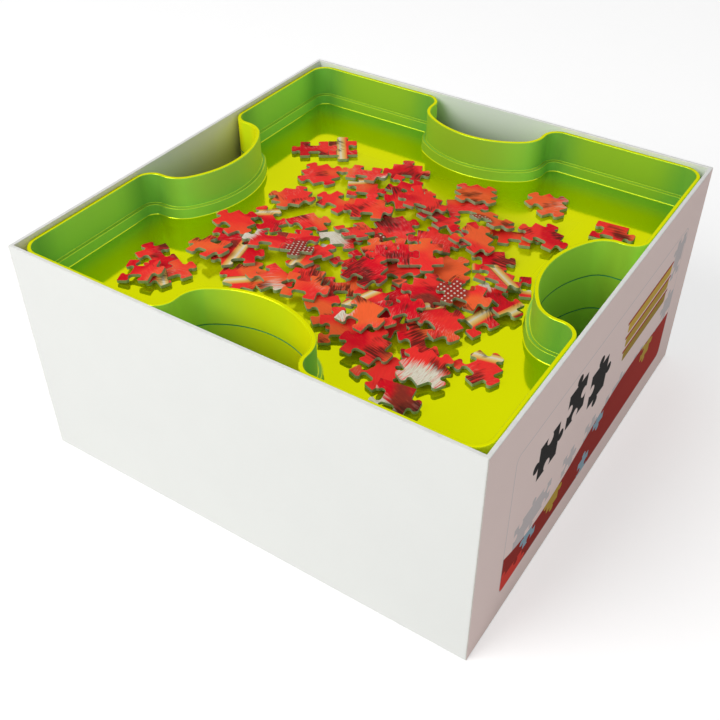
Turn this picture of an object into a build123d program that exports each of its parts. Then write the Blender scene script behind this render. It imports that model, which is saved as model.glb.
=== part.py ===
from build123d import *
import os

import numpy as np
from scipy.optimize import linprog

# A stack of open trays in a square paper-covered board box, with loose jigsaw
# pieces in the top tray. Millimetres, +Z up, origin at the middle of the
# underside. -Y is the plain front of the box and +X its printed side.

# Tray
tray_count = 6
tray_width = 262.0
tray_corner_radius = 11.2
tray_wall = 2.1
tray_pitch = 21.15
foot_height = 5.2
foot_clearance = 0.35
shoulder_height = 3.0
floor_thickness = 2.0
rim_round_share = 0.28
ledge_round_share = 0.2
floor_round_share = 0.4

# Finger bite in the middle of each side of a tray
bite_count = 4
bite_width = 73.0
bite_depth = 34.2
bite_mouth_radius = 10.5
bite_neck = 1.9
bite_side_radius = 14.7

# Box
board_thickness = 1.6
paper_thickness = 0.2
stay_thickness = 0.15
stay_width = 15.0
turn_in = 50.0
turn_under = 15.0
tray_clearance = 0.85
rim_drop = 1.8

# Jigsaw piece
piece_pitch = 17.8
piece_cut_gap = 0.1
piece_thickness = 2.0
knob_head_radius = 1.7
knob_head_offset = 1.9
knob_head_height = 3.6
knob_neck_radius = 1.3

# Heap of loose pieces
rest_gap = 0.2
lean_margin = 0.6
height_step = 0.5

# How far a cut runs past the face that it opens
overrun = 1.0

# Sizes that follow from those above
half_tray = tray_width / 2
tray_height = foot_height + tray_pitch
ledge_level = foot_height + shoulder_height
foot_inset = tray_wall + foot_clearance
floor_inset = foot_inset + tray_wall
base_top = paper_thickness + board_thickness
stack_top = base_top + foot_height + tray_count * tray_pitch
box_height = stack_top + rim_drop
box_inside = tray_width + 2 * tray_clearance
board_inside = box_inside + 2 * paper_thickness
board_outside = board_inside + 2 * board_thickness
wrap_inside = board_outside + 2 * stay_thickness
box_width = wrap_inside + 2 * paper_thickness
board_top = box_height - paper_thickness
heap_floor = base_top + (tray_count - 1) * tray_pitch + floor_thickness
heap_reach = half_tray - bite_depth - floor_inset
piece_size = piece_pitch - piece_cut_gap

# Cuts of the loose pieces: what is on the right, back, left and front sides,
# where K is a knob, S a socket and F a flat edge
piece_cuts = {
    "opposite_knob_pieces": "KSKS",
    "neighbour_knob_pieces": "KKSS",
    "three_knob_pieces": "KKKS",
    "single_knob_pieces": "KSSS",
    "four_knob_pieces": "KKKK",
    "socket_pieces": "SSSS",
    "edge_pieces": "KFSS",
}
pair_cuts = ("KSKS", "SKSK")

# The heap from the bottom up: place across and back as shares of the heap's
# reach, turn in degrees, and node
heap_shares = (
    (0.22, 0.61, 35, "three_knob_pieces"),
    (0.63, 0.50, 20, "opposite_knob_pieces"),
    (0.62, 0.18, 30, "neighbour_knob_pieces"),
    (-0.02, 0.19, -35, "four_knob_pieces"),
    (0.06, -0.03, 15, "single_knob_pieces"),
    (0.85, 0.04, 25, "socket_pieces"),
    (0.05, -0.49, 35, "opposite_knob_pieces"),
    (-0.15, -0.56, 10, "three_knob_pieces"),
    (0.34, -0.40, -30, "neighbour_knob_pieces"),
    (0.57, -0.45, 20, "single_knob_pieces"),
    (-0.45, -0.70, 10, "four_knob_pieces"),
    (0.11, -0.72, -40, "opposite_knob_pieces"),
    (-0.47, 0.24, -10, "opposite_knob_pieces"),
    (0.27, 0.15, 30, "three_knob_pieces"),
    (0.46, -0.02, -15, "four_knob_pieces"),
    (-0.23, -0.12, 40, "edge_pieces"),
    (-0.71, -0.15, -35, "opposite_knob_pieces"),
    (-0.47, -0.09, 62, "edge_pieces"),
    (0.82, -0.37, 70, "single_knob_pieces"),
    (0.60, -0.99, -20, "neighbour_knob_pieces"),
    (0.62, -0.19, -10, "socket_pieces"),
    (-0.80, -0.46, 15, "single_knob_pieces"),
    (-0.60, -0.58, 40, "three_knob_pieces"),
    (0.41, -0.65, 12, "neighbour_knob_pieces"),
    (0.67, -0.70, -50, "opposite_knob_pieces"),
    (-0.03, -0.26, -25, "single_knob_pieces"),
    (-0.24, -0.36, 65, "opposite_knob_pieces"),
    (0.17, 0.38, -15, "opposite_knob_pieces"),
    (0.41, 0.31, 55, "single_knob_pieces"),
    (0.86, -0.16, -20, "opposite_knob_pieces"),
    (0.27, -0.22, 75, "neighbour_knob_pieces"),
    (-0.91, 0.78, 35, "joined_pairs"),
    (-0.76, 0.47, -30, "four_knob_pieces"),
    (-0.41, 0.43, 30, "neighbour_knob_pieces"),
    (-0.30, 0.79, 25, "three_knob_pieces"),
    (-0.21, 0.61, 10, "single_knob_pieces"),
    (0.63, 0.92, -30, "three_knob_pieces"),
    (1.08, 0.84, 5, "edge_pieces"),
    (-0.73, 0.12, 10, "four_knob_pieces"),
    (-0.84, -0.32, -20, "three_knob_pieces"),
    (-0.78, -0.62, -10, "opposite_knob_pieces"),
    (1.00, -0.68, -25, "neighbour_knob_pieces"),
    (-0.92, -0.86, -25, "joined_pairs"),
    (0.09, -0.13, 52, "neighbour_knob_pieces"),
    (-0.44, -0.35, 20, "joined_pairs"),
    (0.51, -0.31, 25, "four_knob_pieces"),
    (0.26, -0.56, 5, "edge_pieces"),
    (0.26, -0.83, 30, "neighbour_knob_pieces"),
    (0.47, -0.88, -5, "three_knob_pieces"),
    (-0.32, -0.66, -25, "edge_pieces"),
    (-0.24, 0.24, 22, "three_knob_pieces"),
    (-0.50, 0.59, 15, "opposite_knob_pieces"),
    (0.78, 0.55, 0, "three_knob_pieces"),
    (0.46, 0.52, -15, "opposite_knob_pieces"),
    (0.75, -0.02, 10, "neighbour_knob_pieces"),
    (0.69, -0.53, -25, "three_knob_pieces"),
    (0.80, -0.85, -30, "four_knob_pieces"),
    (0.77, -1.12, 8, "edge_pieces"),
    (-0.97, -1.00, 20, "single_knob_pieces"),
    (-0.11, 0.50, 40, "opposite_knob_pieces"),
    (0.22, 0.77, -20, "four_knob_pieces"),
    (0.48, -0.60, 50, "single_knob_pieces"),
    (0.25, -0.09, 32, "joined_pairs"),
    (0.13, -0.37, -12, "three_knob_pieces"),
    (0.70, -0.27, 5, "opposite_knob_pieces"),
    (0.33, -0.72, -10, "edge_pieces"),
    (0.46, 0.25, -8, "neighbour_knob_pieces"),
    (0.03, 0.43, 10, "three_knob_pieces"),
    (-0.18, -0.01, -35, "edge_pieces"),
    (-0.09, -0.66, 20, "single_knob_pieces"),
)


# Bite plan, drawn with its own x running out of the tray: a straight neck, then
# a three-centred arch whose two side arcs run smoothly into a flatter crown
spring = bite_mouth_radius + bite_neck
side_run = bite_width / 2 - bite_side_radius
side_rise = bite_depth - spring - bite_side_radius
crown_centre = (side_run**2 - side_rise**2) / (2 * side_rise)
crown_radius = crown_centre + side_rise + bite_side_radius
side_turn = np.degrees(np.arctan2(crown_centre, side_run))
crown_turn = 180 - 2 * side_turn

with BuildSketch() as bite_plan:
    with BuildLine():
        Line((overrun, bite_width / 2), (-spring, bite_width / 2))
        CenterArc((-spring, side_run), bite_side_radius, 90, side_turn)
        CenterArc((crown_centre - spring, 0), crown_radius, 90 + side_turn, crown_turn)
        CenterArc((-spring, -side_run), bite_side_radius, 270 - side_turn, side_turn)
        Polyline((-spring, -bite_width / 2), (overrun, -bite_width / 2), (overrun, bite_width / 2))
    make_face()

# Outside of a tray seen from above
with BuildSketch() as tray_plan:
    RectangleRounded(tray_width, tray_width, tray_corner_radius)
    with PolarLocations(half_tray, bite_count):
        add(bite_plan.sketch, mode=Mode.SUBTRACT)
    mouths = tray_plan.vertices().group_by(SortBy.DISTANCE)[-2]
    fillet(mouths, bite_mouth_radius)


def inset_plan(amount):
    """The tray's outside drawn in by an even amount."""
    with BuildSketch() as plan:
        add(tray_plan.sketch)
        offset(amount=-amount)
    return plan.sketch


# Tray with its foot on z = 0: the foot drops into the rim of the tray below,
# and the shoulder round it stands on that rim
with BuildPart() as tray:
    add(inset_plan(foot_inset))
    extrude(amount=foot_height)
    with BuildSketch(Plane.XY.offset(foot_height)):
        add(tray_plan.sketch)
    extrude(amount=tray_pitch)
    with BuildSketch(Plane.XY.offset(floor_thickness)):
        add(inset_plan(floor_inset))
    extrude(amount=tray_height, mode=Mode.SUBTRACT)
    with BuildSketch(Plane.XY.offset(ledge_level)):
        add(inset_plan(tray_wall))
    extrude(amount=tray_height, mode=Mode.SUBTRACT)
    underside, floor, shoulder, ledge, rim = tray.faces().filter_by(Axis.Z).group_by(Axis.Z)
    fillet(rim.edges(), tray_wall * rim_round_share)
    fillet(ledge.edges(), tray_wall * ledge_round_share)
    fillet(underside.edges() + floor.edges(), floor_thickness * floor_round_share)

os.makedirs("parts", exist_ok=True)
for number in range(tray_count):
    with BuildPart() as placed_tray:
        with Locations((0, 0, base_top + number * tray_pitch)):
            add(tray.part)
    placed_tray.part.label = f"tray_{number + 1}"
    export_step(placed_tray.part, f"parts/tray_{number + 1}.step")


# Box: a base board between four wall boards, paper stays round the corners, a
# sheet under the base, and one paper wrap over the outside, the rim and inside
with BuildPart() as bottom_sheet:
    with BuildSketch():
        Rectangle(box_width - 2 * turn_under, box_width - 2 * turn_under)
    extrude(amount=paper_thickness)
bottom_sheet.part.label = "bottom_sheet"
export_step(bottom_sheet.part, "parts/bottom_sheet.step")

with BuildPart() as base_board:
    with BuildSketch(Plane.XY.offset(paper_thickness)):
        Rectangle(board_inside, board_inside)
    extrude(amount=board_thickness)
base_board.part.label = "base_board"
export_step(base_board.part, "parts/base_board.step")

wall_boards = {
    "front_board": ((0, -(board_inside + board_thickness) / 2), (board_outside, board_thickness)),
    "back_board": ((0, (board_inside + board_thickness) / 2), (board_outside, board_thickness)),
    "left_board": ((-(board_inside + board_thickness) / 2, 0), (board_thickness, board_inside)),
    "right_board": (((board_inside + board_thickness) / 2, 0), (board_thickness, board_inside)),
}
for name, (centre, size) in wall_boards.items():
    with BuildPart() as wall_board:
        with BuildSketch(Plane.XY.offset(paper_thickness)):
            with Locations(centre):
                Rectangle(*size)
        extrude(amount=board_top - paper_thickness)
    wall_board.part.label = name
    export_step(wall_board.part, f"parts/{name}.step")

with BuildPart() as corner_stays:
    with BuildSketch(Plane.XY.offset(paper_thickness)):
        Rectangle(wrap_inside, wrap_inside)
        Rectangle(board_outside, board_outside, mode=Mode.SUBTRACT)
        Rectangle(board_outside - 2 * stay_width, wrap_inside, mode=Mode.SUBTRACT)
        Rectangle(wrap_inside, board_outside - 2 * stay_width, mode=Mode.SUBTRACT)
    extrude(amount=board_top - paper_thickness)
corner_stays.part.label = "corner_stays"
export_step(corner_stays.part, "parts/corner_stays.step")


def paper_ring(level, outside, inside):
    """Plan of a square ring of paper at a level."""
    with BuildSketch(Plane.XY.offset(level)) as ring:
        Rectangle(outside, outside)
        Rectangle(inside, inside, mode=Mode.SUBTRACT)
    return ring.sketch


with BuildPart() as outer_wrap:
    extrude(paper_ring(0, box_width, wrap_inside), amount=box_height)
    extrude(paper_ring(0, box_width, box_width - 2 * turn_under), amount=paper_thickness)
    extrude(paper_ring(board_top, box_width, box_inside), amount=paper_thickness)
    extrude(paper_ring(box_height - turn_in, board_inside, box_inside), amount=turn_in)
outer_wrap.part.label = "outer_wrap"
export_step(outer_wrap.part, "parts/outer_wrap.step")


# Loose pieces
def round_to(start, centre, end):
    """Arc from start to end about a centre, the short way."""
    middle = centre + ((start - centre) + (end - centre)).normalized() * (start - centre).length
    ThreePointArc(start, middle, end)


def side_lines(side, mark):
    """One side of a piece, half a cut's gap inside the line that the knife follows.

    A knob is a pair of head arcs on a neck of two hollow arcs, and a socket is the
    same line turned inwards, so a knob and a socket of two pieces fit each other.
    """
    out = {"K": 1, "S": -1, "F": 0}[mark]
    slack = out * piece_cut_gap / 2
    sink = knob_head_height - knob_neck_radius
    spread = knob_head_offset + np.sqrt((knob_head_radius + knob_neck_radius) ** 2 - sink**2)
    neck_centre = Vector(piece_pitch / 2 + out * knob_neck_radius, spread)
    head_centre = Vector(piece_pitch / 2 + out * knob_head_height, knob_head_offset)
    joint = head_centre + (neck_centre - head_centre).normalized() * (knob_head_radius - slack)
    tip = head_centre + Vector(out * (knob_head_radius - slack), 0)
    corner = Vector(piece_size / 2, piece_size / 2)
    foot = Vector(piece_size / 2, spread)

    def at(point, hand):
        return Vector(point.X, hand * point.Y).rotate(Axis.Z, 90 * side)

    if mark == "F":
        Line(at(corner, -1), at(corner, 1))
        return
    Line(at(corner, -1), at(foot, -1))
    round_to(at(foot, -1), at(neck_centre, -1), at(joint, -1))
    round_to(at(joint, -1), at(head_centre, -1), at(tip, -1))
    Line(at(tip, -1), at(tip, 1))
    round_to(at(tip, 1), at(head_centre, 1), at(joint, 1))
    round_to(at(joint, 1), at(neck_centre, 1), at(foot, 1))
    Line(at(foot, 1), at(corner, 1))


def covered(unit, across, along, margin):
    """Where a unit lies over points in its own plane: its squares and its knobs."""
    half = piece_size / 2 + margin
    knob_reach = half + knob_head_height + knob_head_radius
    knob_half = knob_head_offset + knob_head_radius + margin
    inside = np.zeros(across.shape, bool)
    for cut, shift in unit:
        u, v = across - shift, along
        inside |= (abs(u) <= half) & (abs(v) <= half)
        for mark in cut:
            inside |= (mark == "K") & (u >= 0) & (u <= knob_reach) & (abs(v) <= knob_half)
            u, v = v, -u
    return inside


units = {name: ((cut, 0),) for name, cut in piece_cuts.items()}
units["joined_pairs"] = ((pair_cuts[0], -piece_pitch / 2), (pair_cuts[1], piece_pitch / 2))
places = {name: [] for name in units}

# Each unit is let down on what lies under it: its plane is the lowest at its
# middle of all planes that stay above those points
grid = np.arange(-half_tray, half_tray, height_step)
grid_x, grid_y = np.meshgrid(grid, grid)
heights = np.zeros(grid_x.shape)
for share_x, share_y, turn, name in heap_shares:
    x, y = share_x * heap_reach, share_y * heap_reach
    cos, sin = np.cos(np.radians(turn)), np.sin(np.radians(turn))
    dx, dy = grid_x - x, grid_y - y
    across, along = cos * dx + sin * dy, cos * dy - sin * dx
    under = covered(units[name], across, along, lean_margin)
    points = np.stack([dx[under], dy[under], np.ones(under.sum())], 1)
    rest = linprog((0, 0, 1), A_ub=-points, b_ub=-heights[under], bounds=(None, None)).x
    slope_x, slope_y, level = rest
    level += rest_gap
    tall = piece_thickness * np.sqrt(1 + slope_x**2 + slope_y**2)
    on = covered(units[name], across, along, 0)
    heights[on] = (level + tall + slope_x * dx + slope_y * dy)[on]
    places[name].append(
        Plane(
            origin=(x, y, heap_floor + level),
            x_dir=(cos, sin, slope_x * cos + slope_y * sin),
            z_dir=(-slope_x, -slope_y, 1),
        )
    )
print("heap height", round(heights.max(), 2))

for name, unit in units.items():
    with BuildPart() as one_unit:
        for cut, shift in unit:
            with BuildSketch(Plane.XY.move(Location((shift, 0, 0)))):
                with BuildLine():
                    for side, mark in enumerate(cut):
                        side_lines(side, mark)
                make_face()
        extrude(amount=piece_thickness)
    with BuildPart() as loose_pieces:
        with Locations(*places[name]):
            add(one_unit.part)
    loose_pieces.part.label = name
    export_step(loose_pieces.part, f"parts/{name}.step")
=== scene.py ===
import math

import bmesh
import bpy
import numpy as np
from bpy.props import FloatProperty, FloatVectorProperty, IntProperty, PointerProperty
from bpy.types import Operator, Panel, PropertyGroup
from mathutils import Matrix, Vector


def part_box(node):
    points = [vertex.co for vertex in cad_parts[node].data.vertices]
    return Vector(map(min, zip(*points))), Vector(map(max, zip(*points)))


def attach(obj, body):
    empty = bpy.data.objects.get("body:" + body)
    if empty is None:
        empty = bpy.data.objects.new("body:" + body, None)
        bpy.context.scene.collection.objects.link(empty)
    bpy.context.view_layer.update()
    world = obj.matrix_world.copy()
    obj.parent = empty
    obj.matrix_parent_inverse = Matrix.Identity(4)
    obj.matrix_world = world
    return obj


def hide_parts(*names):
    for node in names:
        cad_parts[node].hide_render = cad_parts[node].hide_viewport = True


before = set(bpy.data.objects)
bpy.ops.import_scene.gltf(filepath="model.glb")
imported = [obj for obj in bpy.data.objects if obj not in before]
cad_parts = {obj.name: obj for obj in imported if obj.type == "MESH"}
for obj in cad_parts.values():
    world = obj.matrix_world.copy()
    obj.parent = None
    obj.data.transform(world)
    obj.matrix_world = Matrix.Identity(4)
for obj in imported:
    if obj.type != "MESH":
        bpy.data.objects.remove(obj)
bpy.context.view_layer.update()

bl_info = {
    "name": "Puzzle sorter",
    "version": (1, 0, 0),
    "blender": (4, 5, 0),
    "location": "View3D > Sidebar > Sorter",
    "description": "Dresses the packed puzzle sorter: trays, paper-covered box and loose jigsaw pieces",
    "category": "Object",
}

QUARTER = math.pi / 2
BOX_LOW, BOX_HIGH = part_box("outer_wrap")
_, TRAY_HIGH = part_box("tray_1")
TRAY_NODES = sorted(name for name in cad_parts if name.startswith("tray_"))
LOOSE_NODES = sorted(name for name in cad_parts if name.endswith(("_pieces", "_pairs")))
BOARD_NODES = sorted(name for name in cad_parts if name.endswith("_board"))

# A round's radius times this reaches its last point.
JUST_PAST = 1.01

# Level directions that walls face.
FRONT, FRONT_LEFT, LEFT_FRONT, BACK_RIGHT = (-0.5, -0.87), (-0.6, -0.8), (-0.8, -0.6), (0.6, 0.8)

# Points of a copied solid this close are one, faces that bend less than this are one, and a face whose normal
# rises more than this looks up.
MERGE_GAP, FLAT_BEND, FACE_UP = 1e-6, math.radians(1), 0.5


# Properties


def number(name, description, default, unit="NONE"):
    """A number that may have a unit."""
    return FloatProperty(name=name, description=description, default=default, unit=unit, precision=5)


def length(name, description, default):
    """A size in metres."""
    return number(name, description, default, "LENGTH")


def angle(name, description, degrees):
    """A turn, given in degrees."""
    return FloatProperty(name=name, description=description, default=math.radians(degrees), subtype="ANGLE")


def share(name, description, default):
    """A part of one."""
    return FloatProperty(name=name, description=description, default=default, min=0, max=1, subtype="FACTOR")


def colour(name, description, default):
    """A colour in scene-linear values."""
    return FloatVectorProperty(
        name=name, description=description, default=default, size=3, min=0, max=1, subtype="COLOR"
    )


def position(name, description, default):
    """A place in metres."""
    return FloatVectorProperty(
        name=name, description=description, default=default, size=3, subtype="XYZ", unit="LENGTH"
    )


class SORTER_PG_tray(PropertyGroup):
    """Shape and finish of a tray."""

    corner_radius: length("Corner radius", "Outside corners of a tray, in plan", 0.0112)
    wall: length("Wall", "Thickness of a tray's wall", 0.0021)
    foot_height: length("Foot height", "How far the foot drops into the tray below", 0.0052)
    foot_clearance: length("Foot clearance", "Gap between the foot and the rim round it", 0.00035)
    shoulder_height: length("Shoulder height", "Solid height from the shoulder up to the ledge", 0.003)
    floor_thickness: length("Floor", "Thickness of a tray's floor", 0.002)
    rim_round: length("Rim round", "Radius along both edges of the rim", 0.00059)
    ledge_round: length("Ledge round", "Radius along the ledge and the shoulder", 0.00042)
    floor_round: length("Floor round", "Radius where wall and floor meet", 0.0008)
    bite_width: length("Bite width", "Width of a finger bite between its necks", 0.073)
    bite_depth: length("Bite depth", "How far a bite goes into the tray", 0.0342)
    mouth_radius: length("Mouth radius", "Round corners at a bite's mouth", 0.0105)
    bite_neck: length("Bite neck", "Straight run behind a bite's mouth", 0.0019)
    bite_side_radius: length("Bite side radius", "Arcs between a bite's necks and its crown", 0.0147)
    # Painted light and shade: floor and rim take the lit yellow, walls greener colours for their shade, and
    # the walls' colours change with the way they face.
    level_colour: colour("Level colour", "Pigment seen on floor and rim", (0.68, 0.72, 0.0))
    # Painted reflection and shade of the walls on the floor along the back and left walls.
    floor_reflection_colour: colour("Floor edge colour", "The floor along back and left", (0.4, 0.68, 0.09))
    floor_reflection_reach: length("Floor edge reach", "How far that goes in from the walls", 0.022)
    floor_reflection_core: length("Floor edge core", "How far in from the walls it is full", 0.002)
    floor_reflection_lag: length("Floor edge lag", "How much less far it goes in on the left", 0.006)
    inside_colour: colour("Inside colour", "Pigment seen on the walls inside", (0.42, 0.96, 0.125))
    inside_front_colour: colour("Inside front colour", "The same facing front left", (0.32, 0.55, 0.032))
    outside_colour: colour("Outside colour", "Pigment seen on the walls outside", (0.49, 0.98, 0.08))
    outside_front_colour: colour("Outside front colour", "The same facing front left", (0.78, 0.94, 0.01))
    outside_left_colour: colour("Outside left colour", "The same facing further left", (0.95, 0.9, 0.0))
    # Painted shade: deep green in the bends of the walls inside, and the walls inside darker towards the
    # floor.
    nook_shade_colour: colour("Nook colour", "Deep green where the walls inside bend", (0.09, 0.36, 0.07))
    nook_reach: length("Nook reach", "How far that green spreads along a wall", 0.011)
    nook_depth: share("Nook depth", "How strong that green is in the bend", 0.6)
    depth_shade: share("Depth shade", "How much darker the walls inside are at the floor", 0.24)
    # Painted shade in the seams between trays and on part of the ledge's flat, which also takes part of the
    # lit yellow.
    seam_shade_colour: colour("Seam colour", "Shade in the seams between trays", (0.04, 0.32, 0.1))
    ledge_seam: share("Ledge seam", "How far the ledge's flat has the seams' shade", 0.19)
    ledge_level: share("Ledge level", "How far the ledge's flat counts as level", 0.54)
    ledge_edge: share("Ledge edge", "How far the ledge's rounds count as level", 0.8)
    level_mirror: share("Level mirror", "How far floor and rim mirror what is above them", 0.8)
    wall_mirror: share("Wall mirror", "How far walls mirror what is beside them", 0.04)
    wall_roughness: share("Wall roughness", "Roughness of the walls", 0.4)
    level_polish: share("Level polish", "How much smoother floor and rim are", 0.34)
    floor_wear: share("Floor wear", "How far pieces have dulled the middle of the floor", 0.69)
    wear_reach: length("Wear reach", "How far from its middle the floor is dulled", 0.088)
    wear_core: length("Wear core", "How far from its middle it is dulled most", 0.055)


class SORTER_PG_box(PropertyGroup):
    """Paper of the box and what is printed on it."""

    board: length("Board", "Thickness of the walls without paper", 0.0016)
    paper: length("Paper", "Thickness of the paper", 0.0002)
    stay: length("Stay", "Thickness of the corner stays", 0.00015)
    turn_in: length("Turn-in", "How far the paper runs down inside", 0.05)
    turn_under: length("Turn-under", "How far the paper runs in under the base", 0.015)
    corner_round: length("Corner round", "Radius of the upright edges", 0.0008)
    edge_round: length("Edge round", "Radius of the paper over the rim", 0.0004)
    paper_colour: colour("Paper colour", "White litho paper", (0.86, 0.87, 0.84))
    # Painted shade: the paper inside the box darkens below the rim.
    deep_shade_colour: colour("Deep colour", "Grey tint of the paper deep inside", (0.19, 0.2, 0.14))
    deep_shade_reach: length("Deep reach", "How far under the rim that tint is full", 0.03)
    rub_colour: colour("Rub colour", "Grey of rubbed edges", (0.6, 0.59, 0.56))
    panel_colour: colour("Panel colour", "Ground of the printed side", (0.88, 0.72, 0.68))
    ink_red: colour("Red ink", "Wave of the print", (0.36, 0.026, 0.018))
    ink_dark: colour("Dark ink", "Dark silhouettes of the print", (0.015, 0.014, 0.014))
    ink_grey: colour("Grey ink", "Frame and pale pieces of the print", (0.6, 0.55, 0.55))
    ink_gold: colour("Gold ink", "Trays and small pieces of the print", (0.5, 0.33, 0.05))
    ink_blue: colour("Blue ink", "Small pieces of the print", (0.28, 0.42, 0.5))
    board_colour: colour("Board colour", "Bare greyboard", (0.4, 0.38, 0.34))
    light_fleck: colour("Light fleck", "Light fibres of the greyboard", (0.7, 0.68, 0.62))
    dark_fleck: colour("Dark fleck", "Dark fibres of the greyboard", (0.16, 0.14, 0.12))
    stay_colour: colour("Stay colour", "Kraft paper of the stays", (0.5, 0.38, 0.24))


class SORTER_PG_pieces(PropertyGroup):
    """Finish of the loose jigsaw pieces."""

    edge_round: length("Edge round", "Round that the die leaves along a piece's edges", 0.00022)
    sharp_angle: angle("Sharp angle", "Bends past this are edges that the die cut", 50)
    picture_width: length("Picture width", "Width of the picture that the pieces are cut from", 0.9)
    red: colour("Red", "Commonest colour of the picture", (0.98, 0.034, 0.03))
    crimson: colour("Crimson", "Deep red of the picture", (0.76, 0.003, 0.018))
    orange: colour("Orange", "Warm red of the picture", (0.98, 0.135, 0.036))
    rust: colour("Rust", "Darkest red of the picture", (0.27, 0.03, 0.02))
    brown: colour("Brown", "Brush strokes of the picture", (0.05, 0.014, 0.008))
    cream: colour("Cream", "Light strokes of the picture", (0.82, 0.77, 0.66))
    straw: colour("Straw", "Light edge of the bands", (0.9, 0.66, 0.28))
    gold: colour("Gold", "Bands of the picture", (0.84, 0.45, 0.1))
    card_colour: colour("Card colour", "Cut edge of the board", (0.27, 0.34, 0.18))
    back_colour: colour("Back colour", "Plain back of the board", (0.66, 0.68, 0.6))
    seed: IntProperty(name="Seed", description="Which cut of the picture each piece shows", default=11)


class SORTER_PG_stage(PropertyGroup):
    """Camera, floor and light."""

    azimuth: angle("Azimuth", "Camera's turn round the box from its front", 33.11)
    elevation: angle("Elevation", "Camera's angle above the horizon", 40.11)
    distance: length("Distance", "From the camera to the box along its line of sight", 0.60354)
    aside: length("Aside", "How far right of the picture's axis the box stands", 0.00831)
    below: length("Below", "How far under the picture's axis the box stands", 0.02358)
    focal_share: number("Focal share", "Focal length over picture width", 1.36431)
    shift_x: number("Shift across", "Camera's shift across", -0.00708)
    shift_y: number("Shift up", "Camera's shift up", -0.00444)
    ambient: share("Ambient", "Strength of the even light all round", 0.45)
    key_power: number("Key power", "Large lamp at the front left", 16.9, "POWER")
    key_size: length("Key size", "Width of that lamp", 1.1)
    key_place: position("Key place", "Where that lamp stands", (-0.6, -1.2, 1.19))
    fill_power: number("Fill power", "Overhead soft box", 1.2, "POWER")
    fill_size: length("Fill size", "Width of the soft box", 1.4)
    fill_place: position("Fill place", "Where the soft box hangs", (0.1, 0.2, 1.6))
    floor_radius: length("Floor radius", "Half the floor's width", 4.0)
    floor_core: length("Floor core", "Half the width of the floor's middle face", 0.5)
    floor_drop: length("Floor drop", "How far the floor lies under the box", 0.0002)
    floor_colour: colour("Floor colour", "Pale floor", (0.84, 0.84, 0.84))
    floor_lift: share("Floor lift", "Light that the camera sees on the floor besides the lamps'", 0.38)


# Shader nodes


def maths(operation, reflected=False):
    """A method that adds a Math node of a wire and any other value, which comes first if reflected."""

    def method(wire, *others):
        values = (*others, wire) if reflected else (wire, *others)
        return wire.tree.node("Math", {"operation": operation}, dict(enumerate(values)))

    return method


class Wire:
    """An output socket. Arithmetic on it adds Math nodes to its tree; & is the lesser and | the greater."""

    def __init__(self, tree, socket):
        self.tree = tree
        self.socket = socket

    __add__, __radd__ = maths("ADD"), maths("ADD", True)
    __sub__, __rsub__ = maths("SUBTRACT"), maths("SUBTRACT", True)
    __mul__, __rmul__ = maths("MULTIPLY"), maths("MULTIPLY", True)
    __truediv__, __rtruediv__ = maths("DIVIDE"), maths("DIVIDE", True)
    __and__, __rand__ = maths("MINIMUM"), maths("MINIMUM", True)
    __or__, __ror__ = maths("MAXIMUM"), maths("MAXIMUM", True)
    __gt__, __lt__ = maths("GREATER_THAN"), maths("LESS_THAN")
    __abs__, __floor__ = maths("ABSOLUTE"), maths("FLOOR")
    root, sine = maths("SQRT"), maths("SINE")

    def ramp(self, low, high):
        """0 at low, 1 at high, and a smooth step between them; low may be the larger."""
        return self.tree.node(
            "MapRange",
            {"interpolation_type": "SMOOTHSTEP"},
            {"Value": self, "From Min": low, "From Max": high},
        )


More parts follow.
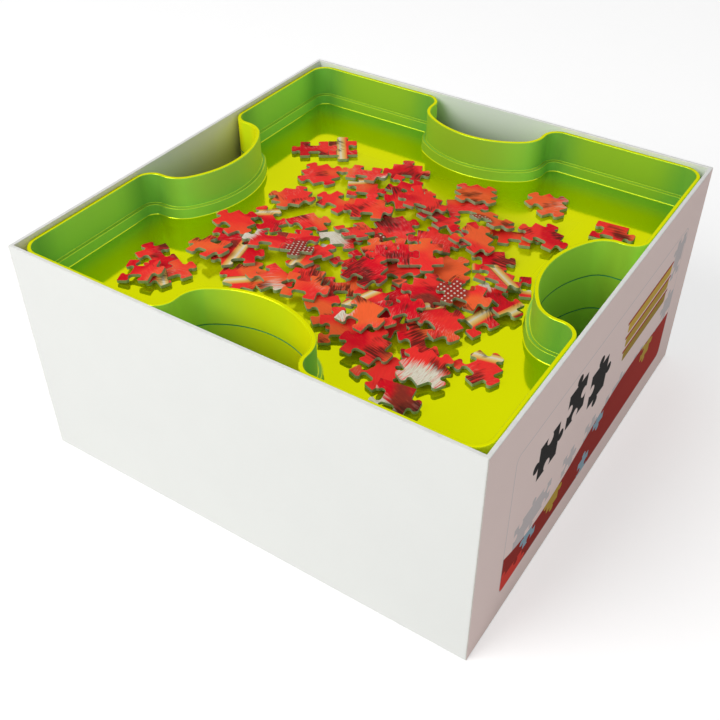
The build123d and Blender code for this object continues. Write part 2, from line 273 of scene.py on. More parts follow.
class Tree:
    """A node tree under construction."""

    def __init__(self, tree):
        self.tree = tree
        tree.nodes.clear()

    def node(self, kind, settings, sockets, out=0):
        """Adds a node: its type, its settings, which come first, and the values or links of its sockets."""
        made = self.tree.nodes.new("ShaderNode" + kind)
        for key, value in settings.items():
            if key == "stops":
                ramp = made.color_ramp
                while len(ramp.elements) < len(value):
                    ramp.elements.new(1)
                for element, (place, shade) in zip(ramp.elements, value):
                    element.position = place
                    element.color = (*shade, 1)
            else:
                setattr(made, key, value)
        for key, value in sockets.items():
            socket = made.inputs[key]
            if isinstance(value, Wire):
                self.tree.links.new(value.socket, socket)
            elif socket.type == "RGBA":
                socket.default_value = (*value, 1)
            else:
                socket.default_value = value
        return Wire(self, made.outputs[out] if made.outputs else None)

    def mix(self, factor, first, second):
        """Colour that goes from first to second."""
        return self.node("Mix", {"data_type": "RGBA"}, {0: factor, 6: first, 7: second}, 2)

    def shade(self, tint, factor):
        """Colour times a number."""
        return self.node("VectorMath", {"operation": "SCALE"}, {0: tint, "Scale": factor})

    def parts(self, vector):
        """The three numbers of a vector."""
        first = self.node("SeparateXYZ", {}, {0: vector})
        return [Wire(self, first.socket.node.outputs[k]) for k in range(3)]

    def join(self, x, y, z):
        """A vector from three numbers."""
        return self.node("CombineXYZ", {}, {0: x, 1: y, 2: z})

    def stretch(self, vector, factors):
        """A vector times another, part by part."""
        return self.node("VectorMath", {"operation": "MULTIPLY"}, {0: vector, 1: factors})

    def move(self, vector, by):
        """A vector plus another."""
        return self.node("VectorMath", {"operation": "ADD"}, {0: vector, 1: by})

    def place(self):
        """Object coordinates, in metres."""
        return self.node("TexCoord", {}, {}, "Object")

    def value(self, name):
        """A number that the mesh carries."""
        return self.node("Attribute", {"attribute_name": name}, {}, "Fac")

    def facing(self):
        """The surface's normal in the object's own frame."""
        return self.node("TexCoord", {}, {}, "Normal")

    def towards(self, x, y):
        """How far the surface faces a level direction, from -1 to 1."""
        vectors = {0: self.facing(), 1: (x, y, 0)}
        return self.node("VectorMath", {"operation": "DOT_PRODUCT"}, vectors, "Value")

    def noise(self, vector, scale, detail=2.0, roughness=0.5):
        """Noise from 0 to 1."""
        sockets = {"Vector": vector, "Scale": scale, "Detail": detail, "Roughness": roughness}
        return self.node("TexNoise", {}, sockets)

    def chance(self, *values):
        """An even chance from 0 to 1 that depends on up to three whole numbers."""
        return self.node("TexWhiteNoise", {}, {"Vector": self.join(*values)})

    def bump(self, height, strength, distance):
        """A normal from a height map."""
        return self.node("Bump", {}, {"Height": height, "Strength": strength, "Distance": distance})


class Finish(Tree):
    """A material with one Principled surface."""

    def __init__(self, name):
        self.material = bpy.data.materials.new(name)
        self.material.use_nodes = True
        super().__init__(self.material.node_tree)

    def surface(self, **sockets):
        """Closes the material; a socket's name is written with _ for a space."""
        named = {key.replace("_", " "): value for key, value in sockets.items()}
        shader = self.node("BsdfPrincipled", {}, named)
        self.node("OutputMaterial", {}, {"Surface": shader})
        return self.material


# Meshes


def new_piece(name, mesh, body, slot, *materials):
    """Puts a mesh into the scene as a piece that rides on a body."""
    piece = bpy.data.objects.new(name, mesh)
    bpy.context.scene.collection.objects.link(piece)
    for material in materials:
        mesh.materials.append(material)
    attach(piece, body)
    return piece


def trail(start, heading, moves):
    """Points of a path, as complex numbers, and its heading at each.

    A move is a size, a turn and a number of steps. Without a turn it is a straight run of that size. With one
    it is an arc of that radius: from point p at heading h it goes to
    p + size (e^(i(h + turn)) - e^(ih)) / (i sign(turn)).
    """
    points, headings = [np.array([start], complex)], [np.array([heading])]
    for size, turn, steps in moves:
        part = np.linspace(0, 1, steps + 1)[1:]
        point, first = points[-1][-1], headings[-1][-1]
        along = first + turn * part
        if turn:
            run = (np.exp(1j * along) - np.exp(1j * first)) / (1j * np.sign(turn))
        else:
            run = part * np.exp(1j * first)
        points.append(point + size * run)
        headings.append(along)
    return np.concatenate(points), np.concatenate(headings)


def grid_faces(across, along, closed):
    """Quads of a grid of points, closed across, and along too if asked."""
    i = np.arange(across)[:, None]
    j = np.arange(along if closed else along - 1)[None, :]
    k, m = (i + 1) % across, (j + 1) % along
    corners = [i * along + j, k * along + j, k * along + m, i * along + m]
    return np.stack([np.broadcast_to(c, (across, j.size)) for c in corners], -1).reshape(-1, 4)


def carried(path, path_heading, profile, profile_heading):
    """Points and normals of a profile carried round a closed path.

    Point (i, j) is path[i] + out[i] Re profile[j] at height Im profile[j], where out[i] is the direction to
    the right of the path. Its normal is the direction to the right of the profile, carried in the same way.
    """
    out = -1j * np.exp(1j * path_heading)[:, None]
    face = -1j * np.exp(1j * profile_heading)[None, :]
    flat = path[:, None] + out * profile.real
    look = out * face.real
    points = np.stack([flat.real, flat.imag, np.broadcast_to(profile.imag, flat.shape)], -1)
    normals = np.stack([look.real, look.imag, np.broadcast_to(face.imag, look.shape)], -1)
    return points, normals


def tray_path(size):
    """A tray's outside in plan, anticlockwise from the front right corner.

    Each of its four sides is a straight run, the bite's mouth, neck, side arc, crown, side arc, neck and
    mouth, a straight run and the corner.
    """
    half = TRAY_HIGH.x
    spring = size.mouth_radius + size.bite_neck
    run = size.bite_width / 2 - size.bite_side_radius
    rise = size.bite_depth - spring - size.bite_side_radius
    crown_centre = (run**2 - rise**2) / (2 * rise)
    crown_radius = crown_centre + rise + size.bite_side_radius
    side_turn = math.atan2(crown_centre, run)
    straight = half - size.corner_radius - size.bite_width / 2 - size.mouth_radius
    side = [
        (straight, 0, 12),
        (size.mouth_radius, QUARTER, 14),
        (size.bite_neck, 0, 1),
        (size.bite_side_radius, -side_turn, 10),
        (crown_radius, 2 * side_turn - math.pi, 20),
        (size.bite_side_radius, -side_turn, 10),
        (size.bite_neck, 0, 1),
        (size.mouth_radius, QUARTER, 14),
        (straight, 0, 12),
        (size.corner_radius, QUARTER, 14),
    ]
    path, heading = trail(half + 1j * (size.corner_radius - half), QUARTER, 4 * side)
    return path[:-1], heading[:-1]


def nooks(path, heading, reach):
    """How deep in a bend that is hollow from inside each point of a path lies.

    The depth falls off as e^(-d d / (reach reach)), where d is the distance from the nearest point at which
    the path turns left by more than least_turn from one neighbour to the other.
    """
    least_turn = 0.19
    turn = np.angle(np.exp(1j * (np.roll(heading, -1) - np.roll(heading, 1))))
    bend = path[turn > least_turn]
    gap = np.abs(path[:, None] - bend[None, :]).min(1)
    return np.exp(-((gap / reach) ** 2))


def tray_profile(size, height):
    """Section of a tray's wall, with outwards as its first number and up as its second.

    It goes out under the foot, up the foot, out under the shoulder, up the outside, over the rim, down to the
    ledge, in over the ledge, down to the floor and in over the floor.
    """
    foot = size.wall + size.foot_clearance
    ledge, floor, rim = size.ledge_round, size.floor_round, size.rim_round
    ledge_level = size.foot_height + size.shoulder_height
    moves = [
        (floor, QUARTER, 4),
        (size.foot_height - floor - ledge, 0, 1),
        (ledge, -QUARTER, 3),
        (foot - 2 * ledge, 0, 1),
        (ledge, QUARTER, 3),
        (height - size.foot_height - ledge - rim, 0, 1),
        (rim, QUARTER, 5),
        (size.wall - 2 * rim, 0, 1),
        (rim, QUARTER, 5),
        (height - ledge_level - rim - ledge, 0, 1),
        (ledge, -QUARTER, 4),
        (ledge / 2, 0, 1),
        (foot - 3 * ledge, 0, 1),
        (ledge / 2, 0, 1),
        (ledge, QUARTER, 4),
        (ledge_level - size.floor_thickness - ledge - floor, 0, 1),
        (floor, -QUARTER, 5),
    ]
    return trail(-foot - floor, 0.0, moves)


def tray_mesh(size, low, high, top):
    """A tray between two levels: its section carried round its plan, closed by the floor and the underside.

    Five values go with its points: how level and turned up one is, whether it is outside or underneath, how
    far down from the rim to the floor it is, how far it is in the seam above or below it, or on the flat of
    the ledge, and how deep in a bend. The rim of the top tray has no seam.
    """
    height = high - low
    path, heading = tray_path(size)
    profile, profile_heading = tray_profile(size, height)
    foot = size.wall + size.foot_clearance
    ledge_middle, ledge_level = -size.wall - foot / 2, size.foot_height + size.shoulder_height
    # Half the ledge's width, less its round and half of the short run beside that.
    flat_half = foot / 2 - 1.25 * size.ledge_round
    rim_reach, ledge_reach = JUST_PAST * size.rim_round, JUST_PAST * size.ledge_round
    tilt = -np.cos(profile_heading)
    outside = np.arange(profile.size) <= profile.imag.argmax()
    depth = (height - profile.imag) / (height - size.floor_thickness)
    skin = profile.real > -rim_reach
    rim = skin & (profile.imag > height - rim_reach)
    shoulder = skin & (profile.imag < size.foot_height + ledge_reach)
    ledge = np.abs(profile.imag - ledge_level) < ledge_reach
    flat = ledge & (np.abs(profile.real - ledge_middle) < flat_half)
    # Painted light and shade: the seams and part of the ledge's flat take shade, only the ledge's flat keeps
    # part of the lit yellow, and the ledge's rounds take a little less of it than other level faces.
    seam = np.where(shoulder | (rim & (not top)), np.abs(tilt), size.ledge_seam * flat)
    level = np.maximum(tilt, 0) * np.where(ledge, size.ledge_edge, 1)
    level = np.where(seam > 0, size.ledge_level * flat, level)
    nook = nooks(path, heading, size.nook_reach)[:, None]
    points, normals = carried(path, heading, profile + 1j * low, profile_heading)
    faces = grid_faces(path.size, profile.size, False).tolist()
    ring = np.arange(path.size) * profile.size
    faces += [(ring + profile.size - 1).tolist(), ring[::-1].tolist()]
    mesh = bpy.data.meshes.new("tray")
    mesh.from_pydata(points.reshape(-1, 3), [], faces)
    mesh.shade_smooth()
    mesh.normals_split_custom_set_from_vertices(normals.reshape(-1, 3))
    marks = {"level": level, "outside": outside, "depth": depth, "seam": seam, "nook": nook}
    for name, values in marks.items():
        spread = np.broadcast_to(values, (path.size, profile.size)).astype(np.float32).ravel()
        mesh.attributes.new(name, "FLOAT", "POINT").data.foreach_set("value", spread)
    return mesh


def square_rings(half, radius, level, steps):
    """Closed skin of rounded squares, row by row.

    Row j has half width half[j], corner radius radius[j] and height level[j]. A point of a corner with signs
    s is (half - radius) s + radius e^(it), with t over that corner's quarter turn.
    """
    quarters = np.arange(4)[:, None] * QUARTER
    turn = (quarters + np.linspace(0, QUARTER, steps + 1)).ravel()
    corner = np.repeat(math.sqrt(2) * np.exp(1j * (quarters.ravel() + QUARTER / 2)), steps + 1)
    flat = (half - radius) * corner[:, None] + radius * np.exp(1j * turn)[:, None]
    points = np.stack([flat.real, flat.imag, np.broadcast_to(level, flat.shape)], -1)
    return points.reshape(-1, 3), grid_faces(turn.size, half.size, True)


def wrap_mesh(size):
    """The paper as rounded squares: under the base, up outside, over the rim, down inside and back behind."""
    half, top = BOX_HIGH.x, BOX_HIGH.z
    paper, edge = size.paper, size.edge_round
    skin = half - paper
    inner = skin - size.stay - size.board - paper
    under = half - size.turn_under
    section, _ = trail(
        under,
        0.0,
        [
            (half - under - edge, 0, 1),
            (edge, QUARTER, 4),
            (top - 2 * edge, 0, 1),
            (edge, QUARTER, 5),
            (half - inner - 2 * edge, 0, 1),
            (edge, QUARTER, 5),
            (size.turn_in - edge, 0, 1),
        ],
    )
    back = [
        inner + paper + 1j * (top - size.turn_in),
        inner + paper + 1j * (top - paper),
        skin + 1j * (top - paper),
        skin + 1j * paper,
        under + 1j * paper,
    ]
    section = np.concatenate([section, back])
    inside = section.real < (inner + half) / 2
    below = section.imag < top / 2
    radius = np.where(inside & ~below, size.edge_round, size.corner_round)
    points, faces = square_rings(section.real, radius, section.imag, 5)
    mesh = bpy.data.meshes.new("outer_wrap")
    mesh.from_pydata(points, [], faces.tolist())
    mesh.shade_smooth()
    return mesh


def islands(edges, count):
    """For each vertex, the lowest vertex that edges join it to."""
    label = np.arange(count)
    while True:
        low = np.minimum(label[edges[:, 0]], label[edges[:, 1]])
        new = label.copy()
        np.minimum.at(new, edges[:, 0], low)
        np.minimum.at(new, edges[:, 1], low)
        new = new[new]
        if (new == label).all():
            return label
        label = new


def read(collection, key, width, kind=np.float32):
    """One attribute of a mesh's vertices, edges, loops or faces as an array."""
    values = np.empty(len(collection) * width, kind)
    collection.foreach_get(key, values)
    return values.reshape(-1, width) if width > 1 else values


def loose_mesh(node, chance, size):
    """A copy of a node's solids, its triangles joined, with each solid's place in the picture as its UV map.

    A solid's picture point is its plan point about the solid's middle, turned by a chance angle and moved to
    a chance place in the picture. Faces that look up carry the first material, and the rest the second.
    """
    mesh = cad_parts[node].data.copy()
    mesh.materials.clear()
    work = bmesh.new()
    work.from_mesh(mesh)
    bmesh.ops.remove_doubles(work, verts=work.verts, dist=MERGE_GAP)
    bmesh.ops.dissolve_limit(work, angle_limit=FLAT_BEND, verts=work.verts, edges=work.edges)
    work.to_mesh(mesh)
    work.free()
    plan = read(mesh.vertices, "co", 3)[:, :2]
    label = islands(read(mesh.edges, "vertices", 2, np.int32), len(plan))
    _, solid = np.unique(label, return_inverse=True)
    count = solid.max() + 1
    sums = np.stack([np.bincount(solid, plan[:, k], count) for k in range(2)], 1)
    middle = sums / np.bincount(solid)[:, None]
    turn = np.exp(1j * chance.uniform(0, 2 * math.pi, count))
    place = chance.uniform(0, size.picture_width, (count, 2)) @ np.array([1, 1j])
    picture = ((plan - middle[solid]) @ np.array([1, 1j])) * turn[solid] + place[solid]
    corner = picture[read(mesh.loops, "vertex_index", 1, np.int32)]
    layer = mesh.uv_layers.new(name="picture")
    layer.data.foreach_set("uv", np.stack([corner.real, corner.imag], 1).astype(np.float32).ravel())
    up = read(mesh.polygons, "normal", 3)[:, 2] > FACE_UP
    mesh.polygons.foreach_set("material_index", (~up).astype(np.int32))
    mesh.shade_smooth()
    mesh.set_sharp_from_angle(angle=size.sharp_angle)
    return mesh


# Finishes


def tray_plastic(look):
    """Glossy yellow-green moulding, scuffed, with light and shade painted into its colour.

    Level faces are yellow and walls greener, which paints light on level faces and shade on walls. Walls also
    take painted light and shade by the way they face, inside also painted shade by depth and in bends,
    outside also painted shade in the right bite. The floor has a painted reflection and shade of the walls
    along the back and left walls, and is dull in its middle.
    """
    f = Finish("tray_plastic")
    place = f.place()
    x, y, _ = f.parts(place)
    half, mouth = TRAY_HIGH.x, look.bite_width / 2 + look.mouth_radius
    bite_rim, bite_side, bite_core = mouth + 0.003, mouth - 0.003, mouth - 0.007
    crown = half - look.bite_depth
    crown_start, crown_end = crown - 0.0118, crown - 0.0018
    corner_start, corner_end = 2 * half - 0.057, 2 * half - 0.022
    wall = half - 2 * look.wall - look.foot_clearance
    level = f.value("level").ramp(0.3, 0.9)
    depth = f.value("depth")
    drift = f.noise(place, 14, 2)
    scuff = f.noise(f.stretch(place, (900, 60, 300)), 1, 3, 0.6).ramp(0.6, 0.78)
    # Painted light and shade inside: the walls' colour changes with the way they face, darkens towards the
    # floor and goes deep green in bends.
    inside = f.mix(f.towards(*FRONT).ramp(0.1, 1.0), look.inside_colour, look.inside_front_colour)
    inside = f.shade(inside, 1 - look.depth_shade * depth)
    inside = f.mix(look.nook_depth * f.value("nook"), inside, look.nook_shade_colour)
    # Painted light on the walls inside a bite that face back right.
    lit = f.towards(*BACK_RIGHT).ramp(0.5, 0.95) * abs(y).ramp(bite_rim, bite_core)
    inside = f.mix(0.35 * lit, inside, look.outside_front_colour)
    # Painted light and shade outside: walls facing front left, and near the front right corner, are yellower,
    # walls facing further left yellower still, and walls of the right bite that face front left are in
    # painted shade.
    front = f.towards(*FRONT_LEFT).ramp(0.1, 0.8) | (x - y).ramp(corner_start, corner_end)
    bite_shade = front * x.ramp(crown_start, crown_end) * abs(y).ramp(bite_rim, bite_side)
    outside = f.mix(front - 0.85 * bite_shade, look.outside_colour, look.outside_front_colour)
    left = f.towards(*LEFT_FRONT).ramp(0.65, 0.95)
    outside = f.mix(0.75 * left, outside, look.outside_left_colour)
    outside = f.shade(outside, 1 - 0.3 * bite_shade)
    tint = f.mix(f.value("outside"), inside, outside)
    # Painted reflection and shade of the walls on the floor along the back and left walls; level faces
    # otherwise take the lit yellow, and walls keep their painted shade.
    behind = y | (-look.floor_reflection_lag - x)
    edge = behind.ramp(wall - look.floor_reflection_reach, wall - look.floor_reflection_core) * depth.ramp(0.994, 1.0)
    tint = f.mix(level, tint, f.mix(edge, look.level_colour, look.floor_reflection_colour))
    # Painted shade in the seams between trays and on the ledge's flat.
    tint = f.mix(f.value("seam").ramp(0.05, 0.4), tint, look.seam_shade_colour)
    tint = f.shade(tint, 0.95 + 0.1 * drift)
    worn = level * (abs(x) | abs(y)).ramp(look.wear_reach, look.wear_core)
    span = look.level_mirror - look.wall_mirror
    polished = look.wall_roughness - look.level_polish * level
    return f.surface(
        Base_Color=tint,
        Metallic=look.wall_mirror + span * (level - look.floor_wear * worn),
        Roughness=polished + 0.12 * worn + 0.04 * drift + 0.06 * scuff,
        IOR=1.49,
        Specular_IOR_Level=0.05,
        Specular_Tint=(1, 1, 0.5),
        Normal=f.bump(f.noise(place, 45, 1), 0.15, 0.0004),
    )


def silhouette(u, v, size, marks):
    """How far a point is outside a jigsaw piece's outline: a square with round knobs (K) and sockets (S)."""
    half, knob = size / 2, size * 0.15
    stand = knob * 0.75
    gap = (abs(u) | abs(v)) - half
    for mark, (a, b) in zip(marks, ((1, 0), (0, 1), (-1, 0), (0, -1))):
        reach = half + (stand if mark == "K" else -stand)
        du, dv = u - a * reach, v - b * reach
        ring = (du * du + dv * dv).root() - knob
        gap = (gap & ring) if mark == "K" else (gap | (0 - ring))
    return gap


def rounded_box(u, v, half_width, half_height, radius):
    """How far a point is outside a rounded rectangle."""
    du, dv = (abs(u) - (half_width - radius)) | 0, (abs(v) - (half_height - radius)) | 0
    return (du * du + dv * dv).root() - radius


def jigsaw_cells(f, u, v):
    """The piece of a jigsaw that a point lies in, as two whole numbers; pieces are one unit wide.

    Each inner edge has a round knob that goes to one side or the other by chance, and a point in a knob
    belongs to the piece on the other side of that edge.
    """
    stand, radius_squared = 0.13, 0.026
    cell_u, cell_v = math.floor(u), math.floor(v)
    edge_u, edge_v = math.floor(u + 0.5), math.floor(v + 0.5)
    side_u = (f.chance(edge_u, cell_v, 3) > 0.5) * 2 - 1
    side_v = (f.chance(cell_u, edge_v, 7) > 0.5) * 2 - 1
    du, dv = u - edge_u - side_u * stand, v - cell_v - 0.5
    knob_u = (du * du + dv * dv) < radius_squared
    eu, ev = u - cell_u - 0.5, v - edge_v - side_v * stand
    knob_v = (eu * eu + ev * ev) < radius_squared
    to_u = edge_u - (side_u > 0)
    to_v = edge_v - (side_v > 0)
    return cell_u + knob_u * (to_u - cell_u), cell_v + knob_v * (to_v - cell_v)


def printed_side(f, u, v, look):
    """Print of the right side, where u runs from front to back and v up, in metres.

    A framed ground has a red wave along its foot, scattered jigsaw pieces, a stack of trays and a row of dark
    silhouettes. The wave's crest at u is level + swing sin(rate u + start) + bow u u. Widths and heights of
    boxes are half ones.
    """
    soft, line = 0.00025, 0.0003
    frame_u, frame_v, frame_width, frame_height, frame_round = 0.003, 0.0635, 0.107, 0.0465, 0.004
    cell, piece = 0.0135, 0.0215
    crest_level, crest_swing, crest_rate, crest_start, crest_bow = 0.039, 0.011, 26, 0.7, 1.3
    stack, tray_width, tray_height, tray_round = 0.06, 0.032, 0.0039, 0.0016
    rim_width, rim_height, rim_rise = 0.034, 0.0009, 0.0034
    trays = ((0.073, 0.75), (0.0825, 1.0), (0.092, 1.25))
    pieces = ((-0.066, 0.082, "KSKS"), (-0.037, 0.091, "SKSS"), (-0.008, 0.082, "KKSK"))
    tint = look.panel_colour
    frame_gap = rounded_box(u - frame_u, v - frame_v, frame_width, frame_height, frame_round)
    inside = frame_gap.ramp(soft, -soft)
    cell_u, cell_v = jigsaw_cells(f, u / cell, v / cell)
    draw = f.chance(cell_u, cell_v, 1)
    pick = f.chance(cell_u, cell_v, 2)
    crest = crest_level + crest_swing * (u * crest_rate + crest_start).sine() + crest_bow * u * u
    wave = (v - crest).ramp(soft, -soft) * inside
    clear = (cell_v < 4) | (abs(cell_u + 0.5) > 7)
    tint = f.mix((draw < 0.3) * clear * inside, tint, look.ink_grey)
    tint = f.mix(wave, tint, f.shade(look.ink_red, 0.8 + 3 * (u | 0)))
    small = f.mix(pick > 0.66, look.ink_gold, look.ink_blue)
    small = f.mix(pick < 0.3, small, f.shade(look.ink_red, 1.9))
    tint = f.mix(wave * (draw > 0.72), tint, small)
    for level, shade in trays:
        tray = rounded_box(u - stack, v - level, tray_width, tray_height, tray_round)
        rim = rounded_box(u - stack, v - level - rim_rise, rim_width, rim_height, rim_height)
        tint = f.mix(tray.ramp(soft, -soft), tint, f.shade(look.ink_gold, shade))
        tint = f.mix(rim.ramp(soft, -soft), tint, look.ink_red)
    for across, level, marks in pieces:
        dark = silhouette(u - across, v - level, piece, marks)
        tint = f.mix(dark.ramp(soft, -soft), tint, look.ink_dark)
    border = (abs(frame_gap) - line).ramp(soft, -soft)
    return f.mix(border * 0.8, tint, look.ink_grey)


def litho_paper(look):
    """White coated paper with fibres, grey where edges rub, painted shade deep inside, and print on the right
    side.
    """
    f = Finish("white_paper")
    place = f.place()
    x, y, z = f.parts(place)
    side = f.parts(f.facing())[0]
    fibre = f.noise(place, 1400, 3, 0.6)
    mottle = f.noise(place, 30, 3)
    rub_noise = f.noise(place, 260, 3, 0.65)
    half, top = BOX_HIGH.x, BOX_HIGH.z
    crisp, upright_rub, rim_rub, foot_rub = 0.0001, 0.0016, 0.0012, 0.0014
    wall_middle, wall_inner = half - 0.001, half - 0.0015
    upright = (abs(x) & abs(y)).ramp(half - upright_rub, half - 2 * crisp)
    rim = z.ramp(top - rim_rub, top - crisp)
    foot = z.ramp(foot_rub, 0.0)
    rub = (upright | rim | foot) * rub_noise.ramp(0.35, 0.75)
    printed = (side > 0.9) & (x > half - look.corner_round)
    tint = f.mix(printed, look.paper_colour, printed_side(f, y, z, look))
    tint = f.shade(tint, 0.965 + 0.03 * mottle + 0.025 * fibre)
    # Painted shade on the paper inside, darker further under the rim.
    within = (abs(x) | abs(y)).ramp(wall_middle, wall_inner) * (z > top / 2)
    deep = within * z.ramp(top - 10 * crisp, top - look.deep_shade_reach)
    tint = f.mix(0.7 * deep, tint, look.deep_shade_colour)
    tint = f.mix(rub * 0.22, tint, look.rub_colour)
    return f.surface(
        Base_Color=tint,
        Roughness=0.62 + 0.1 * fibre + 0.15 * rub - 0.06 * printed,
        Specular_IOR_Level=0.02,
        Normal=f.bump(0.6 * fibre + 0.4 * f.noise(place, 420, 2), 0.35, 0.00012),
    )


def greyboard(look):
    """Recycled board: grey ground with light and dark flecks of fibre."""
    f = Finish("greyboard")
    place = f.place()
    ground = f.noise(place, 120, 4, 0.6)
    light = f.noise(f.stretch(place, (700, 2600, 1500)), 1, 2).ramp(0.62, 0.74)
    dark = f.noise(f.stretch(place, (2100, 800, 1700)), 1, 2).ramp(0.64, 0.76)
    tint = f.shade(look.board_colour, 0.85 + 0.3 * ground)
    tint = f.mix(light * 0.35, tint, look.light_fleck)
    tint = f.mix(dark * 0.4, tint, look.dark_fleck)
    return f.surface(
        Base_Color=tint,
        Roughness=0.85 + 0.1 * ground,
        Normal=f.bump(ground + light - dark, 0.4, 0.0001),
    )


def stay_paper(look):
    """Brown kraft strip with a fine lengthwise grain."""
    f = Finish("stay_paper")
    place = f.place()
    grain = f.noise(f.stretch(place, (1800, 1800, 160)), 1, 3, 0.6)
    tint = f.shade(look.stay_colour, 0.8 + 0.4 * grain)
    return f.surface(Base_Color=tint, Roughness=0.7 + 0.2 * grain, Normal=f.bump(grain, 0.3, 0.00008))


def dotted_patch(f, spot, tint, look):
    """Adds cream dots on a rust patch, one patch here and there in the picture.

    Dots lie p apart each way from the middle of a Voronoi cell, so a point (u, v) from that middle is
    (u - p round(u / p), v - p round(v / p)) from the nearest dot's middle.
    """
    pitch, dot_radius, reach, patches_per_metre = 0.0023, 0.00052, 0.0078, 7.0
    middle = f.node("TexVoronoi", {}, {"Vector": spot, "Scale": patches_per_metre}, "Position")
    u, v, _ = f.parts(f.node("VectorMath", {"operation": "SUBTRACT"}, {0: spot, 1: middle}))
    far = (u * u + v * v).root()
    du, dv = (part - math.floor(part / pitch + 0.5) * pitch for part in (u, v))
    dot = (du * du + dv * dv).root().ramp(1.2 * dot_radius, 0.8 * dot_radius) * (far < reach)
    tint = f.mix(0.85 * far.ramp(1.35 * reach, 0.95 * reach), tint, look.rust)
    return f.mix(0.75 * dot, tint, look.cream)


def gold_band(f, u, v, tint, look):
    """Adds bands of gold and cream that run straight across the picture, far apart."""
    pitch, width, lean = 0.15, 0.0066, (0.82, 0.57)
    across = u * lean[0] + v * lean[1]
    across = (across - math.floor(across / pitch) * pitch) / width
    shades = (look.rust, look.gold, look.straw, look.cream, look.straw, look.gold, look.orange)
    stops = list(zip((0.0, 0.12, 0.3, 0.42, 0.56, 0.8, 1.0), shades))
    return f.mix(across < 1, tint, f.node("ValToRGB", {"stops": stops}, {0: across}))


def puzzle_print(look):
    """Picture on the pieces: brushed reds, brown smudges, cream tufts, gold bands and dots, varnished."""
    f = Finish("puzzle_print")
    spot = f.node("UVMap", {"uv_map": "picture"}, {})
    u, v, _ = f.parts(spot)
    ground = f.noise(spot, 24, 1.5)
    bend = f.noise(f.move(spot, (7.7, 4.2, 0)), 12, 1)
    lane = v + bend * 0.05
    stroke = f.noise(f.join(u * 130 + bend * 12, lane * 1000, 0), 1, 3, 0.6)
    fine = f.noise(f.join(u * 260, lane * 2400, 5), 1, 2, 0.6)
    shades = (look.rust, look.crimson, look.crimson, look.red, look.red, look.orange)
    stops = list(zip((0.3, 0.34, 0.42, 0.46, 0.54, 0.61), shades))
    tint = f.node("ValToRGB", {"stops": stops}, {0: ground})
    tint = f.mix(0.4 * fine.ramp(0.5, 0.8), tint, look.orange)
    glint = fine.ramp(0.5, 0.75) * f.noise(f.move(spot, (5.3, 8.2, 0)), 38, 1).ramp(0.52, 0.66)
    tint = f.mix(0.4 * glint, tint, look.cream)
    tint = f.shade(tint, 0.88 + 0.24 * stroke)
    tint = gold_band(f, u, v, tint, look)
    smudge = (f.noise(f.move(spot, (3.1, 1.7, 0)), 52, 2) + 0.25 * stroke).ramp(0.67, 0.8)
    tint = f.mix(smudge * 0.9 * stroke.ramp(0.28, 0.54), tint, look.brown)
    tuft = (f.noise(f.move(spot, (11.3, 9.1, 0)), 17, 1) + 0.14 * stroke).ramp(0.695, 0.745)
    hair = f.mix(0.6 * fine.ramp(0.46, 0.7), look.cream, f.mix(stroke, look.brown, look.gold))
    tint = dotted_patch(f, spot, f.mix(tuft, tint, hair), look)
    return f.surface(
        Base_Color=tint,
        Roughness=0.45 + 0.12 * stroke,
        Specular_IOR_Level=0.06,
        Normal=f.bump(f.noise(f.place(), 1500, 2), 0.18, 0.00008),
    )


def cut_card(look):
    """Cut edge of the puzzle board, grey-green layers with loose fibres, and its plain pale back."""
    f = Finish("puzzle_card")
    place = f.place()
    layer = f.noise(f.stretch(place, (500, 500, 3600)), 1, 3, 0.6)
    fleck = f.noise(place, 2400, 2)
    below = f.parts(f.facing())[2].ramp(-0.5, -0.8)
    tint = f.mix(below, look.card_colour, look.back_colour)
    tint = f.shade(tint, 0.7 + 0.35 * layer + 0.25 * fleck)
    relief = f.bump(layer + fleck, 0.4, 0.00008)
    return f.surface(Base_Color=tint, Roughness=0.8 + 0.15 * fleck, Normal=relief)


# Operators


class SORTER_OT_trays(Operator):
    """Builds the six trays as a section carried round their plan, in place of the solids"""

    bl_idname = "sorter.trays"
    bl_label = "Trays"

    def execute(self, context):
        look = context.scene.sorter_tray
        plastic = tray_plastic(look)
        for node in TRAY_NODES:
            low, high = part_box(node)
            mesh = tray_mesh(look, low.z, high.z, node == TRAY_NODES[-1])
            piece = new_piece(f"moulded_{node}", mesh, node, "tray_plastic", plastic)
            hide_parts(node)
        return {"FINISHED"}


class SORTER_OT_wrap(Operator):
    """Builds the paper round the box with rounded edges and its print, and finishes the bottom sheet"""

    bl_idname = "sorter.wrap"
    bl_label = "Paper wrap"

    def execute(self, context):
        look = context.scene.sorter_box
        paper = litho_paper(look)
        piece = new_piece("paper_wrap", wrap_mesh(look), "box", "white_paper", paper)
        piece.modifiers.new("even_faces", "WEIGHTED_NORMAL")
        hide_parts("outer_wrap")
        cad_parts["bottom_sheet"].data.materials.clear()
        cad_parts["bottom_sheet"].data.materials.append(paper)
        return {"FINISHED"}


class SORTER_OT_boards(Operator):
    """Gives the boards and the corner stays their finishes"""

    bl_idname = "sorter.boards"
    bl_label = "Boards and stays"

    def execute(self, context):
        look = context.scene.sorter_box
        finishes = {node: greyboard for node in BOARD_NODES}
        finishes["corner_stays"] = stay_paper
        made = {make: make(look) for make in (greyboard, stay_paper)}
        for node, make in finishes.items():
            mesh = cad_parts[node].data
            mesh.materials.clear()
            mesh.materials.append(made[make])
        return {"FINISHED"}


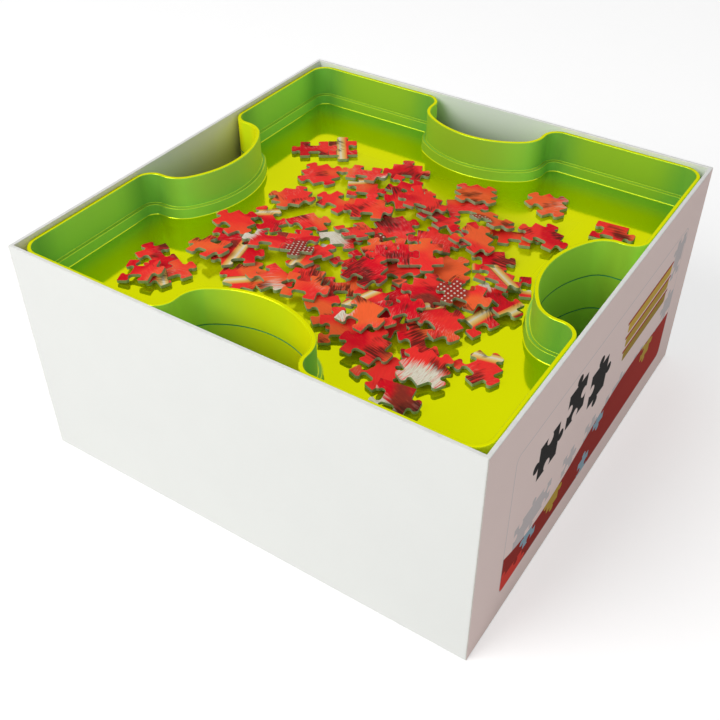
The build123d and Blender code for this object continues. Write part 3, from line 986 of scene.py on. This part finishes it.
class SORTER_OT_pieces(Operator):
    """Builds the loose jigsaw pieces with rounded edges and a picture across them"""

    bl_idname = "sorter.pieces"
    bl_label = "Loose pieces"

    def execute(self, context):
        look = context.scene.sorter_pieces
        picture, card = puzzle_print(look), cut_card(look)
        chance = np.random.default_rng(look.seed)
        for node in LOOSE_NODES:
            mesh = loose_mesh(node, chance, look)
            piece = new_piece(f"printed_{node}", mesh, "loose_pieces", "puzzle_card", picture, card)
            round_edges = piece.modifiers.new("die_round", "BEVEL")
            round_edges.width = look.edge_round
            round_edges.segments = 2
            round_edges.limit_method = "ANGLE"
            round_edges.angle_limit = look.sharp_angle
            round_edges.use_clamp_overlap = False
            even = piece.modifiers.new("even_faces", "WEIGHTED_NORMAL")
            even.keep_sharp = True
            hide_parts(node)
        return {"FINISHED"}


def soft_box(name, size, power, place, target):
    """A square lamp at a place that looks at a target."""
    lamp = bpy.data.lights.new(name, "AREA")
    lamp.shape = "SQUARE"
    lamp.size = size
    lamp.energy = power
    holder = bpy.data.objects.new(name, lamp)
    holder.location = place
    holder.rotation_euler = (Vector(target) - Vector(place)).to_track_quat("-Z", "Y").to_euler()
    bpy.context.scene.collection.objects.link(holder)


class SORTER_OT_stage(Operator):
    """Sets up the floor, the light and the camera"""

    bl_idname = "sorter.stage"
    bl_label = "Stage"

    def execute(self, context):
        scene = context.scene
        look = scene.sorter_stage
        scene.view_settings.view_transform = "Standard"
        self.floor(look)
        self.world(scene, look)
        middle = (0, 0, BOX_HIGH.z / 2)
        soft_box("key", look.key_size, look.key_power, look.key_place, middle)
        soft_box("fill", look.fill_size, look.fill_power, look.fill_place, middle)
        self.camera(scene, look)
        return {"FINISHED"}

    def seen(self, tree):
        """1 for rays from the camera and for reflections, 0 for light."""
        path = tree.node("LightPath", {}, {}, "Is Camera Ray")
        rays = [Wire(tree, path.socket.node.outputs[f"Is {kind} Ray"]) for kind in ("Glossy", "Transmission")]
        return path | rays[0] | rays[1]

    def floor(self, look):
        """A wide disc under the box: point (i, j) is radius[j] e^(it) with t over a whole turn."""
        turn = np.linspace(0, 2 * math.pi, 97)[:-1]
        flat = np.exp(1j * turn)[:, None] * np.array([look.floor_radius, look.floor_core])
        level = np.full(flat.shape, BOX_LOW.z - look.floor_drop)
        points = np.stack([flat.real, flat.imag, level], -1).reshape(-1, 3)
        faces = grid_faces(turn.size, 2, False).tolist() + [(2 * np.arange(turn.size) + 1).tolist()]
        mesh = bpy.data.meshes.new("floor")
        mesh.from_pydata(points, [], faces)
        f = Finish("floor")
        lift = f.mix(self.seen(f), (0, 0, 0), (look.floor_lift,) * 3)
        grain = f.noise(f.place(), 40, 2)
        mesh.materials.append(
            f.surface(
                Base_Color=f.shade(look.floor_colour, 0.99 + 0.02 * grain),
                Roughness=0.7,
                Emission_Color=lift,
                Emission_Strength=1.0,
            )
        )
        floor = bpy.data.objects.new("floor", mesh)
        bpy.context.scene.collection.objects.link(floor)

    def world(self, scene, look):
        """Even white light, and plain white where it is seen or mirrored."""
        world = bpy.data.worlds.new("studio")
        world.use_nodes = True
        tree = Tree(world.node_tree)
        strength = look.ambient + (1 - look.ambient) * self.seen(tree)
        light = tree.node("Background", {}, {"Color": (1, 1, 1), "Strength": strength})
        tree.node("OutputWorld", {}, {"Surface": light})
        scene.world = world

    def camera(self, scene, look):
        """A camera that stands back from the box along its line of sight, without roll."""
        turn, rise = look.azimuth, look.elevation
        back = Vector((math.sin(turn) * math.cos(rise), -math.cos(turn) * math.cos(rise), math.sin(rise)))
        right = Vector((math.cos(turn), math.sin(turn), 0))
        up = back.cross(right)
        eye = back * look.distance - right * look.aside + up * look.below
        data = bpy.data.cameras.new("camera")
        data.sensor_width = 36
        data.lens = data.sensor_width * look.focal_share
        data.shift_x, data.shift_y = look.shift_x, look.shift_y
        camera = bpy.data.objects.new("camera", data)
        camera.matrix_world = Matrix.Translation(eye) @ Matrix((right, up, back)).transposed().to_4x4()
        scene.collection.objects.link(camera)
        scene.camera = camera


class SORTER_PT_panel(Panel):
    """Lists the sorter's operators and sizes"""

    bl_label = "Puzzle sorter"
    bl_idname = "SORTER_PT_panel"
    bl_space_type = "VIEW_3D"
    bl_region_type = "UI"
    bl_category = "Sorter"

    def draw(self, context):
        for operator in OPERATORS:
            self.layout.operator(operator.bl_idname)
        for key, group in GROUPS.items():
            box = self.layout.box()
            for name in group.__annotations__:
                box.prop(getattr(context.scene, key), name)


GROUPS = {
    "sorter_tray": SORTER_PG_tray,
    "sorter_box": SORTER_PG_box,
    "sorter_pieces": SORTER_PG_pieces,
    "sorter_stage": SORTER_PG_stage,
}
OPERATORS = (SORTER_OT_trays, SORTER_OT_wrap, SORTER_OT_boards, SORTER_OT_pieces, SORTER_OT_stage)


def register():
    for made in (*GROUPS.values(), *OPERATORS, SORTER_PT_panel):
        bpy.utils.register_class(made)
    for key, group in GROUPS.items():
        setattr(bpy.types.Scene, key, PointerProperty(type=group))


def unregister():
    for key in GROUPS:
        delattr(bpy.types.Scene, key)
    for made in reversed((*GROUPS.values(), *OPERATORS, SORTER_PT_panel)):
        bpy.utils.unregister_class(made)


def main():
    register()
    bpy.ops.sorter.trays()
    bpy.ops.sorter.wrap()
    bpy.ops.sorter.boards()
    bpy.ops.sorter.pieces()
    bpy.ops.sorter.stage()


if __name__ == "__main__":
    main()
